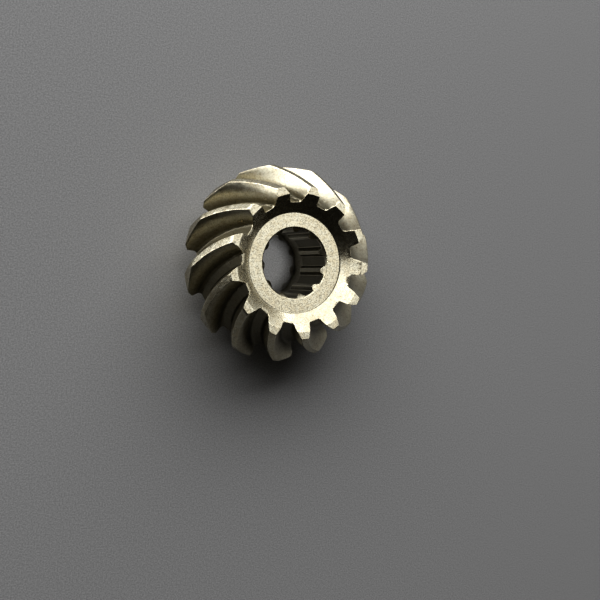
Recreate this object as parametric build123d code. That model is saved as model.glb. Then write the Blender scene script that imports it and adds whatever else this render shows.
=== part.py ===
from build123d import *
import os
from math import acos, asin, atan, cos, pi, radians, sin, sqrt, tan

# Spiral bevel pinion: one steel forging with 13 left-hand spiral teeth, a short hub at the
# large end and an internally splined bore. Millimetres and degrees. The part stands on the
# end face of its hub: the origin is the centre of that face, and +Z is the axis of rotation,
# towards the small end of the teeth.

# ---- Tooth system ----------------------------------------------------------------------
pinion_teeth = 13
gear_teeth = 26               # teeth of the ring gear that it drives, shafts at 90 degrees
outer_module = 3.0            # transverse module where the pitch cone meets the heel face
pressure_angle = 20.0         # normal to the tooth
spiral_angle = 32.3           # at the middle of the face, left hand
cutter_radius = 24.5          # face-mill radius, which gives the teeth their lengthwise arc
tooth_thickness_share = 0.48  # transverse tooth thickness over pitch, on the pitch cone
dedendum = 2.25                # pitch cone to root cone, at the heel face
root_corner_rise = 0.55       # height at which the flank turns into the root, at the heel

# ---- Toothed blank ---------------------------------------------------------------------
heel_height = 5.1             # hub end face to the flat heel of the teeth
outside_diameter = 39.9       # cylinder that trims the teeth at the heel
heel_chamfer = 0.8
face_angle = 32.2             # cone over the tips of the teeth
total_height = 18.1           # hub end face to the flat tips at the small end
tip_flat_outer_diameter = 30.0
tip_flat_inner_diameter = 27.1
ring_face_height = 15.3       # hub end face to the ring face round the bore, small end
ring_outer_diameter = 19.9
edge_break = 0.12             # tumbled edges of the ring face

# ---- Hub -------------------------------------------------------------------------------
hub_diameter = 24.0
hub_shoulder = 0.8            # 45 degree shoulder between hub and heel face
hub_chamfer = 0.6

# ---- Splined bore ----------------------------------------------------------------------
spline_teeth = 11
first_spline_tooth = -7.8       # degrees from +X, where a tooth gap is centred at mid-face
spline_module = 1.25
spline_pressure_angle = 30.0
spline_major_diameter = 13.9
spline_minor_diameter = 12.5
countersink_diameter = 14.4   # mouth of the 45 degree countersink in the ring face
relief_diameter = 14.3        # plain bore behind the splines, open at the hub end
relief_depth = 4.4
relief_chamfer = 0.4
spline_lead_in = 0.6          # 45 degree lead-in of the splines from the plain bore

# ---- Cutting allowances ----------------------------------------------------------------
clear_of_tips = 0.6           # the cut of a tooth gap runs this far past the tips
clear_of_ends = 1.6           # and this far past both ends of the teeth
clear_of_faces = 1.0          # the cuts of the bore run this far past hub end and ring face
section_count = 5             # outlines that each tooth gap is lofted through
flank_point_count = 3         # points that shape each flank, from root corner to past the tip

# ---- Pitch cone ------------------------------------------------------------------------
pitch_angle = atan(pinion_teeth / gear_teeth)
heel_pitch_radius = outer_module * pinion_teeth / 2
outer_cone_distance = heel_pitch_radius / sin(pitch_angle)
apex_height = heel_height + heel_pitch_radius / tan(pitch_angle)
root_taper = atan(dedendum / outer_cone_distance)


def cone_distance(radius, height):
    """Distance from the pitch apex, measured along the pitch cone."""
    return radius * sin(pitch_angle) + (apex_height - height) * cos(pitch_angle)


toe_cone_distance = cone_distance(tip_flat_inner_diameter / 2, total_height)
heel_cone_distance = cone_distance(outside_diameter / 2, heel_height)
mean_cone_distance = (toe_cone_distance + outer_cone_distance) / 2

# Distance from the pitch apex to the axis of the face mill, on the crown gear.
mill_offset = sqrt(
    mean_cone_distance ** 2 + cutter_radius ** 2
    - 2 * mean_cone_distance * cutter_radius * sin(radians(spiral_angle))
)


def involute(angle):
    return tan(angle) - angle


def mill_bearing(distance):
    """Angle at the apex between the mill axis and the cut, at a cone distance."""
    return acos((distance ** 2 + mill_offset ** 2 - cutter_radius ** 2) / (2 * distance * mill_offset))


def turn_at(distance):
    """Turn of the pinion, in radians, that the spiral makes from the middle of the face."""
    return (mill_bearing(mean_cone_distance) - mill_bearing(distance)) / sin(pitch_angle)


def spiral_at(distance):
    lean = (distance ** 2 + cutter_radius ** 2 - mill_offset ** 2) / (2 * distance * cutter_radius)
    return asin(lean)


def tip_height(distance):
    """Height of the tip cone over the pitch cone, at a cone distance."""
    tip_radius = tip_flat_outer_diameter / 2
    toe_height = tip_radius * cos(pitch_angle) - (apex_height - total_height) * sin(pitch_angle)
    toe_distance = cone_distance(tip_radius, total_height)
    return toe_height + (distance - toe_distance) * tan(radians(face_angle) - pitch_angle)


def space_section(distance):
    """Outline of the gap between two teeth, square to the pitch cone at a cone distance.

    The teeth are those of the equivalent spur gear on the back cone: involute flanks, which
    run straight to the axis below the base circle, then a narrow corner facet, where the
    cutter's corner radius is, and a flat root land.
    """
    equivalent_radius = distance * tan(pitch_angle)
    transverse_angle = atan(tan(radians(pressure_angle)) / cos(spiral_at(distance)))
    base_radius = equivalent_radius * cos(transverse_angle)
    half_pitch = pi * cos(pitch_angle) / pinion_teeth
    half_tooth = tooth_thickness_share * half_pitch
    root_depth = distance * tan(root_taper)
    corner_rise = root_corner_rise * distance / outer_cone_distance
    lowest = equivalent_radius - root_depth + corner_rise
    highest = equivalent_radius + tip_height(distance) + clear_of_tips

    def flank(radius):
        local_angle = acos(min(1.0, base_radius / radius))
        half_space = half_pitch - half_tooth - involute(transverse_angle) + involute(local_angle)
        point = (radius * sin(half_space), radius * cos(half_space) - equivalent_radius)
        return point, half_space + local_angle

    station_rise = (highest - lowest) / (flank_point_count - 1)
    flank_foot, lean = flank(lowest)
    corner_radius = (flank_foot[1] + root_depth) / (1 - sin(lean))
    land_end = (flank_foot[0] - corner_radius * cos(lean), -root_depth)

    right_flank = Spline([flank(lowest + station_rise * step)[0] for step in range(flank_point_count)])
    right_corner = Line(flank_foot, land_end)
    root_land = Line(land_end, (-land_end[0], land_end[1]))
    left_corner = mirror(right_corner, about=Plane.YZ)
    left_flank = mirror(right_flank, about=Plane.YZ)
    lid = Polyline(left_flank @ 1, (0, highest - equivalent_radius), right_flank @ 1)
    outline = make_face([right_flank, right_corner, root_land, left_corner, left_flank, lid])

    turn = turn_at(distance)
    foot = (
        distance * sin(pitch_angle) * cos(turn),
        distance * sin(pitch_angle) * sin(turn),
        apex_height - distance * cos(pitch_angle),
    )
    along_cone = (sin(pitch_angle) * cos(turn), sin(pitch_angle) * sin(turn), -cos(pitch_angle))
    return Plane(origin=foot, x_dir=(-sin(turn), cos(turn), 0), z_dir=along_cone) * outline


def tooth_space():
    """One curved gap between two teeth, run out past both ends."""
    first = toe_cone_distance - clear_of_ends
    last = heel_cone_distance + clear_of_ends
    spacing = (last - first) / (section_count - 1)
    return loft([space_section(first + spacing * step) for step in range(section_count)])


def blank():
    """The turned blank: hub, heel, tip cone, dished small end and ring face."""
    outside_radius = outside_diameter / 2
    tip_flat_radius = tip_flat_outer_diameter / 2
    hub_radius = hub_diameter / 2
    ring_radius = ring_outer_diameter / 2
    crown_height = total_height - (outside_radius - tip_flat_radius) / tan(radians(face_angle))
    profile = Polyline(
        (0, 0),
        (hub_radius - hub_chamfer, 0),
        (hub_radius, hub_chamfer),
        (hub_radius, heel_height - hub_shoulder),
        (hub_radius + hub_shoulder, heel_height),
        (outside_radius - heel_chamfer, heel_height),
        (outside_radius, heel_height + heel_chamfer),
        (outside_radius, crown_height),
        (tip_flat_radius, total_height),
        (tip_flat_inner_diameter / 2, total_height),
        (ring_radius + edge_break, ring_face_height),
        (ring_radius, ring_face_height),
        (0, ring_face_height),
        close=True,
    )
    return revolve(Plane.XZ * make_face(profile), axis=Axis.Z)


def bore():
    """Plain relief bore, minor bore of the splines and countersink, as one turned form."""
    relief_radius = relief_diameter / 2
    minor_radius = spline_minor_diameter / 2
    mouth_radius = countersink_diameter / 2
    profile = Polyline(
        (0, -clear_of_faces),
        (relief_radius + relief_chamfer, -clear_of_faces),
        (relief_radius + relief_chamfer, 0),
        (relief_radius, relief_chamfer),
        (relief_radius, relief_depth),
        (minor_radius + spline_lead_in, relief_depth),
        (minor_radius, relief_depth + spline_lead_in),
        (minor_radius, ring_face_height - (mouth_radius - minor_radius)),
        (mouth_radius, ring_face_height),
        (mouth_radius, ring_face_height + clear_of_faces),
        (0, ring_face_height + clear_of_faces),
        close=True,
    )
    return revolve(Plane.XZ * make_face(profile), axis=Axis.Z)


def spline_gaps():
    """The gaps between the spline teeth, from the relief bore out through the ring face."""
    pitch_radius = spline_module * spline_teeth / 2
    inner = spline_minor_diameter / 2 - spline_lead_in
    outer = spline_major_diameter / 2 + spline_lead_in

    def half_width(radius):
        return pi * spline_module / 4 - (radius - pitch_radius) * tan(radians(spline_pressure_angle))

    gap = make_face(
        Polyline(
            (inner, -half_width(inner)),
            (outer, -half_width(outer)),
            (outer, half_width(outer)),
            (inner, half_width(inner)),
            close=True,
        )
    )
    gap = gap & Circle(spline_major_diameter / 2)
    pitch = 360 / spline_teeth
    gaps = Sketch() + [
        Rot(0, 0, first_spline_tooth + pitch * (index + 0.5)) * gap for index in range(spline_teeth)
    ]
    return extrude(
        Pos(0, 0, relief_depth) * gaps,
        amount=ring_face_height - relief_depth + clear_of_faces,
    )


def bevel_pinion():
    space = tooth_space()
    spaces = [Rot(0, 0, 360 / pinion_teeth * index) * space for index in range(pinion_teeth)]
    pinion = blank() - bore() - spline_gaps() - spaces
    return pinion.solid()


if __name__ == "__main__":
    os.makedirs("parts", exist_ok=True)
    pinion = bevel_pinion()
    export_step(pinion, "parts/bevel_pinion.step")
    size = pinion.bounding_box().size
    print(f"bevel_pinion: {size.X:.2f} x {size.Y:.2f} x {size.Z:.2f} mm, {pinion.volume:.0f} mm3")
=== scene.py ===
# %% [markdown]
# # A spiral bevel pinion in Blender
# The pinion is one steel forging: a turned blank with thirteen curved teeth milled into it and
# splines broached through its bore. Its exact form comes from the CAD model, so this lesson
# is about what Blender adds: tumbled edges, the finish that each cutting tool leaves, and
# light that shows them.

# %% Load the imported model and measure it
import math

import bmesh
import bpy
from mathutils import Matrix, Vector


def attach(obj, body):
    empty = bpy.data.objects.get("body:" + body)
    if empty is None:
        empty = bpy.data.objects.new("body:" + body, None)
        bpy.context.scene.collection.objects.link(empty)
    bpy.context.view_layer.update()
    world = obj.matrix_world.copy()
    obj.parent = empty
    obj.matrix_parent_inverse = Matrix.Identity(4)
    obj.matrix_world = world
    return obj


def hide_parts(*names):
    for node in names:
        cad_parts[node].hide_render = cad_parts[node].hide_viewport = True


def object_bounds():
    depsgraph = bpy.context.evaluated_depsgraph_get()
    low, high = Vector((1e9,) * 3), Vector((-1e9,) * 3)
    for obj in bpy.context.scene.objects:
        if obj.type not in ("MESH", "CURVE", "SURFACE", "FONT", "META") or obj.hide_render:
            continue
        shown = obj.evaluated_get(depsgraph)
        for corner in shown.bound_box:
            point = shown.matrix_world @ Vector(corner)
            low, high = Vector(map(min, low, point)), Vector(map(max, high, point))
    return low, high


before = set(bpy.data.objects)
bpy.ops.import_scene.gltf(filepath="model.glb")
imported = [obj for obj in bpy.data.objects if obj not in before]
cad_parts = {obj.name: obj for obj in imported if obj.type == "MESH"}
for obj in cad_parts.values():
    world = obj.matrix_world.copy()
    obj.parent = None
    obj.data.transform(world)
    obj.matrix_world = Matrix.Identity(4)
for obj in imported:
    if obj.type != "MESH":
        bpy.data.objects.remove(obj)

MM = 0.001
cad_low, cad_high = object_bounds()
print("CAD box in mm:", [round(side / MM, 2) for side in cad_high - cad_low])

# %% [markdown]
# ## The sizes that the finish has to know
# Each machined face gets the marks of its own tool, so the script must find those faces. They
# could be picked by hand, but a face is known by where it lies: the turned faces are flats,
# cylinders and cones about the Z axis. A few sizes of the blank describe all of them, and the
# pitch cone, on which this gear and its mate roll, says which way the teeth run.

# %% Faces of the blank, as sizes in metres
total_height = cad_high.z
ring_height = 15.3 * MM
heel_height = 5.1 * MM
outside_radius = cad_high.y
ring_radius = 9.95 * MM
dish_radius = 10.07 * MM
heel_pitch_radius = 19.5 * MM
tip_flat_inner_radius = 13.55 * MM
tip_flat_radius = 15.0 * MM
bore_mouth_radius = 7.2 * MM
face_angle = math.radians(32.2)
pinion_teeth = 13
mating_teeth = 26
pitch_angle = math.atan(pinion_teeth / mating_teeth)
apex_height = heel_height + heel_pitch_radius / math.tan(pitch_angle)
print("pitch apex stands", round(apex_height / MM, 1), "mm above the hub's end face")

# %% [markdown]
# ## A copy to work on
# The CAD mesh is loose triangles, and it must stay as it is. A copy is merged, so that its
# triangles share corners and edges can be smoothed and rounded. The normals that came with
# the CAD mesh are cleared, because they would keep every edge looking sharp. Flat faces are
# then dissolved into single polygons, which keeps the rounding of their edges clean.

# %% Copy and merge the CAD node
def only(piece):
    """Deselect everything but one piece, and make it the active one."""
    bpy.ops.object.select_all(action="DESELECT")
    piece.select_set(True)
    bpy.context.view_layer.objects.active = piece


pinion = bpy.data.objects.new("pinion_body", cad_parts["bevel_pinion"].data.copy())
bpy.context.scene.collection.objects.link(pinion)
pinion.data.materials.clear()
only(pinion)
bpy.ops.mesh.customdata_custom_splitnormals_clear()
bpy.ops.object.mode_set(mode="EDIT")
bpy.ops.mesh.select_all(action="SELECT")
bpy.ops.mesh.remove_doubles(threshold=0.001 * MM)
bpy.ops.mesh.dissolve_limited(angle_limit=math.radians(0.1))
bpy.ops.object.mode_set(mode="OBJECT")
print("merged to", len(pinion.data.vertices), "corners and", len(pinion.data.polygons), "faces")

# %% [markdown]
# ## Root fillets
# The tips of a milling cutter are rounded, so the root of each tooth runs into its flanks in a
# fillet. The CAD model has a narrow flat there, and bevelling both edges of that flat turns
# it into a fillet. Those edges are the hollow ones outside the ring face.

# %% Round the roots of the teeth
fillet_width = 0.2 * MM
least_corner = math.radians(15)
past_ring = ring_radius + 0.1 * MM
past_heel = heel_height + 0.01 * MM


def is_root_corner(edge):
    middle = (edge.verts[0].co + edge.verts[1].co) / 2
    in_gap = math.hypot(middle.x, middle.y) > past_ring and middle.z > past_heel
    return in_gap and edge.calc_face_angle_signed() < -least_corner


bpy.ops.object.mode_set(mode="EDIT")
bpy.ops.mesh.select_mode(type="EDGE")
bpy.ops.mesh.select_all(action="DESELECT")
cut = bmesh.from_edit_mesh(pinion.data)
corners = [edge for edge in cut.edges if is_root_corner(edge)]
for edge in corners:
    edge.select_set(True)
bmesh.update_edit_mesh(pinion.data)
print("root corner edges:", len(corners))
bpy.ops.mesh.bevel(offset=fillet_width, segments=3, clamp_overlap=False)
bpy.ops.object.mode_set(mode="OBJECT")

# %% [markdown]
# ## Shader maths as sums
# A procedural finish is mostly arithmetic on places. It could be wired by hand in the shader
# editor, but a dozen sums make a tangle there. Wrapping a socket in a small class lets the
# arithmetic be written as Python expressions, each of which adds its own Math node.

# %% A class for shader sums
class Shade:
    """A number that varies over a surface: a socket of a node tree."""

    def __init__(self, nodes, socket):
        self.nodes = nodes
        self.socket = socket

    def __add__(self, other):
        return self.nodes.math("ADD", self, other)

    def __sub__(self, other):
        return self.nodes.math("SUBTRACT", self, other)

    def __rsub__(self, other):
        return self.nodes.math("SUBTRACT", other, self)

    def __mul__(self, other):
        return self.nodes.math("MULTIPLY", self, other)

    def __truediv__(self, other):
        return self.nodes.math("DIVIDE", self, other)

    def __rtruediv__(self, other):
        return self.nodes.math("DIVIDE", other, self)

    __radd__ = __add__
    __rmul__ = __mul__

    def ramp(self, low, high):
        """0 below low, 1 above high, and a smooth rise between."""
        settings = {"interpolation_type": "SMOOTHSTEP"}
        inputs = {"Value": self, "From Min": low, "From Max": high}
        node = self.nodes.node("ShaderNodeMapRange", settings, inputs)
        return Shade(self.nodes, node.outputs["Result"])


# %% [markdown]
# ## Nodes by name
# Every other node comes from one method that takes its type, its settings and what its
# sockets get. A finish adds what all the steels need: the place on the piece, in the piece's
# own coordinates so that no pattern slides, the distance from the axis, and noise.

# %% A class for node trees, and one for finishes
class Nodes:
    """A node tree, and one method that adds any node to it."""

    def __init__(self, tree):
        self.tree = tree

    def feed(self, node, inputs):
        """Give sockets, by name or number, their values or links."""
        for name, value in inputs.items():
            if isinstance(value, Shade):
                value = value.socket
            if isinstance(value, bpy.types.NodeSocket):
                self.tree.links.new(value, node.inputs[name])
            else:
                node.inputs[name].default_value = value

    def node(self, kind, settings=None, inputs=None):
        node = self.tree.nodes.new(kind)
        for name, value in (settings or {}).items():
            setattr(node, name, value)
        self.feed(node, inputs or {})
        return node

    def math(self, operation, *numbers):
        inputs = dict(enumerate(numbers))
        node = self.node("ShaderNodeMath", {"operation": operation}, inputs)
        return Shade(self, node.outputs["Value"])


class Finish(Nodes):
    """A material that knows where on the piece it is."""

    def __init__(self, name):
        self.material = bpy.data.materials.new(name)
        self.material.use_nodes = True
        super().__init__(self.material.node_tree)
        self.place = self.node("ShaderNodeTexCoord").outputs["Object"]
        axes = self.node("ShaderNodeSeparateXYZ", inputs={"Vector": self.place}).outputs
        self.x, self.y, self.z = (Shade(self, axes[axis]) for axis in "XYZ")
        self.radius = self.math("SQRT", self.x * self.x + self.y * self.y)

    def surface(self, inputs):
        self.feed(self.tree.nodes["Principled BSDF"], inputs)

    def drawn_out(self, x, y, z):
        """A place whose three numbers have been stretched or swapped."""
        inputs = {"X": x, "Y": y, "Z": z}
        return self.node("ShaderNodeCombineXYZ", inputs=inputs).outputs["Vector"]

    def noise(self, place, scale, detail=2.0):
        inputs = {"Vector": place, "Scale": scale, "Detail": detail}
        return Shade(self, self.node("ShaderNodeTexNoise", inputs=inputs).outputs["Fac"])

    def blend(self, share, first, second):
        """Mix two colours by a share from 0 to 1. A colour Mix node has them at 6 and 7."""
        inputs = {"Factor": share, 6: first, 7: second}
        return self.node("ShaderNodeMix", {"data_type": "RGBA"}, inputs).outputs[2]


# %% [markdown]
# ## The steel itself
# Case-hardened steel that has been tumbled is a warm grey with a satin sheen. Seen close, it
# is mottled in patches about a millimetre across, from a faint straw brown to a cooler cream,
# and covered in grains a few tenths of a millimetre across, some of them darker. The grains
# tilt the reflection a little, which is what breaks a dark edge of light into specks. All of
# this is noise at three sizes, which costs no mesh and holds from any distance. A dark brown
# can be laid over it as painted shade in the hollows, standing in for their shadow and a little
# oil. Its colours can also be scaled, darker as painted shade in the bore and lighter as a
# painted highlight on the rounds.

# %% Steel colours and the grain that every face shares
steel_cream = (0.56, 0.535, 0.43, 1)
steel_straw = (0.465, 0.42, 0.31, 1)
steel_dark = (0.17, 0.15, 0.105, 1)
# The dark brown of the painted shade in the hollows, which also stands for a little oil.
painted_shade_and_oil_brown = (0.1, 0.09, 0.06, 1)
grain_scale = 3900.0
mottle_scale = 1300.0
cloud_scale = 200.0
mottle_depth = 0.006 * MM
speck_strength = 0.45
# How strongly the painted shade darkens the steel.
painted_shade_and_oil_strength = 0.75


def shaded(colour, painted_light_factor):
    """A colour made darker or lighter, with its alpha kept."""
    red, green, blue, alpha = colour
    return (red * painted_light_factor, green * painted_light_factor, blue * painted_light_factor, alpha)


def steel(name, marks, mark_depth, grain_depth, gloss, painted_light_factor=1.0, painted_shade_and_oil=None):
    """A steel finish. marks gives the tool's own marks. The colour factor scales the colours:
    below 1 it is painted shade, above 1 a painted highlight. The last argument gives, from 0 to
    1, where painted shade lies over the steel, standing in for shadow in the hollows and a
    little oil.
    """
    finish = Finish(name)
    grain = finish.noise(finish.place, grain_scale, 3.0)
    mottle = finish.noise(finish.place, mottle_scale, 3.0)
    cloud = finish.noise(finish.place, cloud_scale, 2.0)
    mark = marks(finish)
    patches = (mottle * 0.5 + cloud * 0.25 + mark * 0.25).ramp(0.38, 0.62)
    # The factor scales both colours: below 1 this is painted shade, above 1 a painted
    # highlight.
    colour = finish.blend(patches, shaded(steel_straw, painted_light_factor), shaded(steel_cream, painted_light_factor))
    specks = grain.ramp(0.42, 0.72)
    colour = finish.blend(specks * speck_strength, colour, steel_dark)
    # Painted shade: a dark brown laid where the hollows lie in shadow, also standing for a
    # little oil.
    if painted_shade_and_oil:
        colour = finish.blend(painted_shade_and_oil(finish) * painted_shade_and_oil_strength, colour, painted_shade_and_oil_brown)
    relief = grain * grain_depth + mottle * mottle_depth + mark * mark_depth
    bump = finish.node("ShaderNodeBump", inputs={"Height": relief, "Distance": 1.0})
    finish.surface(
        {
            "Base Color": colour,
            "Metallic": 1.0,
            "Roughness": gloss + (mottle - 0.5) * 0.12 + specks * 0.1,
            "Normal": bump.outputs["Normal"],
        }
    )
    return finish.material


# %% [markdown]
# ## Marks of the three tools
# A lathe leaves rings about the axis, the milling cutter leaves lines along the teeth, and
# the broach leaves lines along the bore. Each is a noise that is drawn out along the way the
# tool went: the place is fed in with one direction large and the others small.

# %% Turned, milled and broached marks
def turned(finish):
    """Rings about the axis."""
    return finish.noise(finish.drawn_out(finish.radius, finish.z, finish.x * 0.02), 6000.0)


def tooth_place(finish):
    """How high above the pitch cone a place is, scaled to the heel, and how far along it."""
    down = apex_height - finish.z
    height = finish.radius * math.cos(pitch_angle) - down * math.sin(pitch_angle)
    along = finish.radius * math.sin(pitch_angle) + down * math.cos(pitch_angle)
    return height / along * apex_height, along


def milled(finish):
    """Lines along the teeth, at steady shares of their height."""
    height, along = tooth_place(finish)
    bearing = finish.math("ARCTAN2", finish.y, finish.x)
    return finish.noise(finish.drawn_out(height, along * 0.06, bearing * 0.004), 2600.0, 3.0)


def broached(finish):
    """Lines along the bore."""
    return finish.noise(finish.drawn_out(finish.x, finish.y, finish.z * 0.04), 4200.0)


# %% [markdown]
# ## Painted shade in the hollows, and burnished edges with a painted highlight
# Deep in the gaps and in the grooves of the splines the steel is darkened with painted shade,
# which stands in for the shadow there and for a little oil. Tumbling burnishes every edge, so
# the rounds get a smoother finish of their own, whose lighter colour is a painted highlight.
# The painted shade is found by place too: by height on a tooth, and by radius in the bore.

# %% Where the painted shade lies, and the four finishes
def root_painted_shade_and_oil(finish):
    """Painted shade: 1 at the root of a tooth, where the gap lies in shadow, and 0 above the
    pitch cone.
    """
    height = tooth_place(finish)[0]
    return 1 - height.ramp(-2.4 * MM, 0.8 * MM)


def groove_painted_shade_and_oil(finish):
    """Painted shade: 1 in the grooves of the splines, but not in their lead-in or the relief.
    """
    in_groove = finish.radius.ramp(6.3 * MM, 6.8 * MM)
    above_relief = finish.z.ramp(4.3 * MM, 4.9 * MM)
    below_mouth = 1 - finish.z.ramp(14.2 * MM, 14.8 * MM)
    return in_groove * above_relief * below_mouth


def burnished(finish):
    """Small dents, with no direction."""
    return finish.noise(finish.place, 1500.0)


finishes = {
    "turned": steel("turned_steel", turned, 0.003 * MM, 0.018 * MM, 0.24),
    "milled": steel("milled_steel", milled, 0.008 * MM, 0.022 * MM, 0.29, painted_shade_and_oil=root_painted_shade_and_oil),
    # The bore's colours are darkened to three quarters: painted shade over the whole bore.
    "broached": steel(
        "broached_steel", broached, 0.006 * MM, 0.01 * MM, 0.3, painted_light_factor=0.75, painted_shade_and_oil=groove_painted_shade_and_oil
    ),
    # The rounds' colours are lightened to 1.35 times: a painted highlight on top of the
    # burnish.
    "burnished": steel("burnished_steel_painted_highlight", burnished, 0.004 * MM, 0.004 * MM, 0.2, painted_light_factor=1.35),
}
for tool, material in finishes.items():
    print(tool, "finish has", len(material.node_tree.nodes), "nodes")

# %% [markdown]
# ## Give each face its finish
# A face belongs to the broach if all its corners lie inside the bore, and to the lathe if its
# centre lies on the turned blank. All that is left was cut by the milling cutter. This is done
# before the edges are rounded, while every face still lies wholly on one surface.

# %% Sort the faces by the tool that made them
near = 0.06 * MM


def on_turned_blank(centre):
    radius = math.hypot(centre.x, centre.y)
    dish = (radius - dish_radius) / (tip_flat_inner_radius - dish_radius)
    dish_height = ring_height + dish * (total_height - ring_height)
    cone = (radius - tip_flat_radius) * math.cos(face_angle)
    cone += (centre.z - total_height) * math.sin(face_angle)
    return (
        centre.z < heel_height + near
        or abs(centre.z - ring_height) < near
        or abs(centre.z - total_height) < near
        or abs(radius - outside_radius) < near
        or abs(centre.z - dish_height) < near
        or abs(cone) < near
    )


def tool_of(face):
    corners = (pinion.data.vertices[number].co for number in face.vertices)
    reach = max(math.hypot(corner.x, corner.y) for corner in corners)
    if reach < bore_mouth_radius + near:
        return "broached"
    return "turned" if on_turned_blank(face.center) else "milled"


for material in finishes.values():
    pinion.data.materials.append(material)
tools = list(finishes)
for face in pinion.data.polygons:
    face.material_index = tools.index(tool_of(face))
for tool in tools[:3]:
    count = sum(face.material_index == tools.index(tool) for face in pinion.data.polygons)
    print(tool, "faces:", count)

# %% [markdown]
# ## Tumbled edges
# After milling, pinions are tumbled or brushed, which leaves a tiny round on every edge. It
# is what draws the thin bright lines round the teeth, helped by the lighter colour of the
# burnished finish, which is a painted highlight. Rounding by hand would mean picking
# thousands of edges, so a Bevel modifier limited by angle finds them, and gives its new faces
# the burnished finish. It isn't clamped, because the shortest edge anywhere would then thin
# every round. Weighted normals keep each large face flat or evenly curved, and leave the turn
# to the narrow round.

# %% Round the edges
only(pinion)
bpy.ops.object.shade_smooth()
rounding = pinion.modifiers.new("tumbled_edges", "BEVEL")
rounding.limit_method = "ANGLE"
rounding.angle_limit = math.radians(28)
rounding.width = 0.06 * MM
rounding.segments = 2
rounding.use_clamp_overlap = False
# The rounds get the burnished finish, whose lighter colour is a painted highlight.
rounding.material = tools.index("burnished")
bpy.ops.object.modifier_apply(modifier=rounding.name)
evening = pinion.modifiers.new("even_faces", "WEIGHTED_NORMAL")
bpy.ops.object.modifier_apply(modifier=evening.name)
print("rounded to", len(pinion.data.polygons), "faces")

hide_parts("bevel_pinion")
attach(pinion, "root")

# %% [markdown]
# ## Floor
# The pinion stands on a plain pale floor with a fine grain, like a sheet of heavy card. One
# large plane is enough for that, and noise between two near greys keeps it from looking dead.

# %% Floor
bpy.ops.mesh.primitive_plane_add(size=4.0, location=(0, 0, 0))
floor = bpy.context.active_object
floor.name = "floor"
card = Finish("pale_floor")
fibres = card.noise(card.place, 3600.0, 4.0)
tint = card.blend(fibres.ramp(0.25, 0.75), (0.42, 0.42, 0.425, 1), (0.64, 0.64, 0.645, 1))
card.surface({"Base Color": tint, "Roughness": 0.4})
floor.data.materials.append(card.material)
print("floor is", round(floor.dimensions.x), "m wide")

# %% [markdown]
# ## Light
# Polished steel only looks like steel when it has something bright and something dark to
# reflect. One big soft box leans over the pinion from the far side and lights the floor too.
# Four smaller ones only fill reflections: overhead in the ring face and the tip flats, on the
# left and at the side in the dish, and low along the flanks. Light linking keeps those four
# off the floor, so the shadow under the teeth stays deep.

# %% Soft boxes
def towards(bearing, rise):
    """The direction at a bearing from +X and a rise above the floor, both in degrees."""
    bearing, rise = math.radians(bearing), math.radians(rise)
    level = math.cos(rise)
    return Vector((level * math.cos(bearing), level * math.sin(bearing), math.sin(rise)))


def stand_lamp(lamp, bearing, rise, distance):
    """Stand a lamp at a bearing and a rise, facing the origin and hidden from the camera."""
    stand = bpy.data.objects.new(lamp.name, lamp)
    bpy.context.scene.collection.objects.link(stand)
    stand.location = towards(bearing, rise) * distance
    stand.rotation_euler = stand.location.to_track_quat("Z", "Y").to_euler()
    stand.visible_camera = False
    return stand


def soft_box(name, bearing, rise, width, height, brightness, distance=0.6):
    """A rectangular lamp. Width and height are the angles that it spans."""
    lamp = bpy.data.lights.new(name, "AREA")
    lamp.shape = "RECTANGLE"
    lamp.size = 2 * distance * math.tan(math.radians(width) / 2)
    lamp.size_y = 2 * distance * math.tan(math.radians(height) / 2)
    lamp.energy = brightness * math.pi * lamp.size * lamp.size_y
    return stand_lamp(lamp, bearing, rise, distance)


soft_box("window_box", 100, 33, 96, 50, 1.68, distance=1.2)
fills = (
    soft_box("overhead_box", 15, 64, 26, 26, 1.46),
    soft_box("left_box", 165, 38, 34, 26, 1.5),
    soft_box("side_box", 25, 10, 80, 22, 1.1),
    soft_box("low_box", 140, 7, 110, 20, 3.4),
)
pinion_only = bpy.data.collections.new("pinion_only")
pinion_only.objects.link(pinion)
for fill in fills:
    fill.light_linking.receiver_collection = pinion_only
print("soft boxes that light the pinion only:", len(fills))

# %% [markdown]
# ## A spot for the bore
# Without a lamp of its own the bore would be a black hole. A wide lamp overhead would also
# wash out the shadow under the teeth, so a spot shines straight down the bore, in a beam no
# wider than the splines leave free.

# %% Spot down the bore
beam_radius = 6.2 * MM
spot_height = 0.6
spot = bpy.data.lights.new("bore_spot", "SPOT")
spot.spot_size = 2 * math.atan(beam_radius / spot_height)
spot.spot_blend = 0.3
spot.shadow_soft_size = 2 * MM
spot.energy = 3.6
stand_lamp(spot, 0, 90, spot_height)
print("beam is", round(math.degrees(spot.spot_size), 2), "degrees wide")

# %% [markdown]
# ## Room
# A dim warm room fills what the lamps leave dark. Seen past the edge of the floor it would be
# black, so a plain grey backdrop takes its place there. It lights nothing, because it is
# mixed in for what is seen directly and not for what is reflected.

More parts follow.
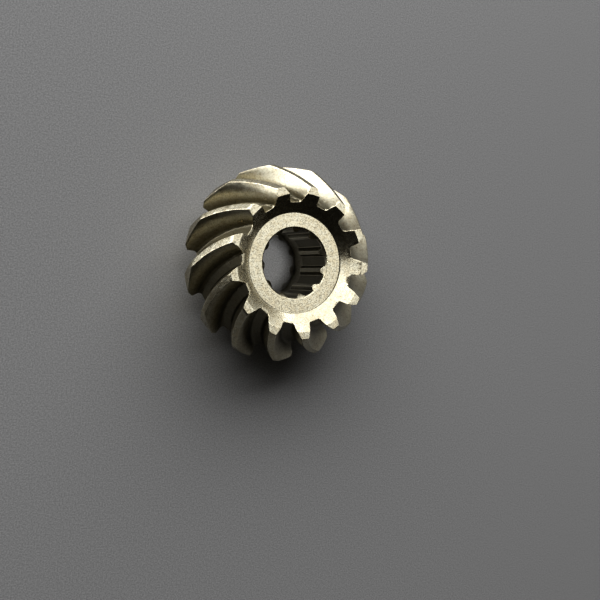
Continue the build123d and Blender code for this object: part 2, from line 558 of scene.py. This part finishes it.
# %% Dim room with a grey backdrop
world = bpy.data.worlds.new("dim_room")
bpy.context.scene.world = world
world.use_nodes = True
room = Nodes(world.node_tree)
dim = world.node_tree.nodes["Background"]
room.feed(dim, {"Color": (1.0, 0.95, 0.85, 1), "Strength": 0.017})
backdrop = room.node("ShaderNodeBackground", inputs={"Color": (0.16, 0.16, 0.16, 1)})
seen = room.node("ShaderNodeLightPath").outputs["Is Camera Ray"]
shades = {"Fac": seen, 1: dim.outputs[0], 2: backdrop.outputs[0]}
shown = room.node("ShaderNodeMixShader", inputs=shades)
room.feed(world.node_tree.nodes["World Output"], {"Surface": shown.outputs[0]})
print("room has", len(world.node_tree.nodes), "nodes")

# %% [markdown]
# ## Camera
# The camera looks down on the small end of the pinion from the side, and is turned about its
# own line of sight, as a camera held by hand over a table is. A Track To constraint can't
# roll the camera, so its three axes are worked out and set as a matrix.

# %% Camera
view_roll = math.radians(94.34)
view_distance = 168.49 * MM
aim = Vector((1.65 * MM, -7.25 * MM, ring_height))

lens = bpy.data.cameras.new("camera")
lens.lens = 50.8
lens.sensor_width = 36.0
lens.clip_start = 0.01
camera = bpy.data.objects.new("camera", lens)
bpy.context.scene.collection.objects.link(camera)
bpy.context.scene.camera = camera

back = towards(179.95, 63.48)
level = Vector((0, 0, 1)).cross(back).normalized()
right = level * math.cos(view_roll) + back.cross(level) * math.sin(view_roll)
turn = Matrix((right, back.cross(right), back)).transposed()
camera.matrix_world = Matrix.Translation(aim + back * view_distance) @ turn.to_4x4()
print("camera stands", round(view_distance / MM), "mm from the ring face")

# %% [markdown]
# ## Tone of the render
# A pale floor fills the shadows between the teeth with its own light, which flattens them.
# The Standard transform leaves colours as they are, and its High Contrast look gives back the
# deep shadows and bright edges that the eye expects of steel.

# %% Tone of the render
bpy.context.scene.view_settings.view_transform = "Standard"
bpy.context.scene.view_settings.look = "High Contrast"
print("look:", bpy.context.scene.view_settings.look)

# %% [markdown]
# ## Size
# Rounding only takes material away, so the finished pinion lies inside the CAD box.

# %% Update the scene
bpy.context.view_layer.update()
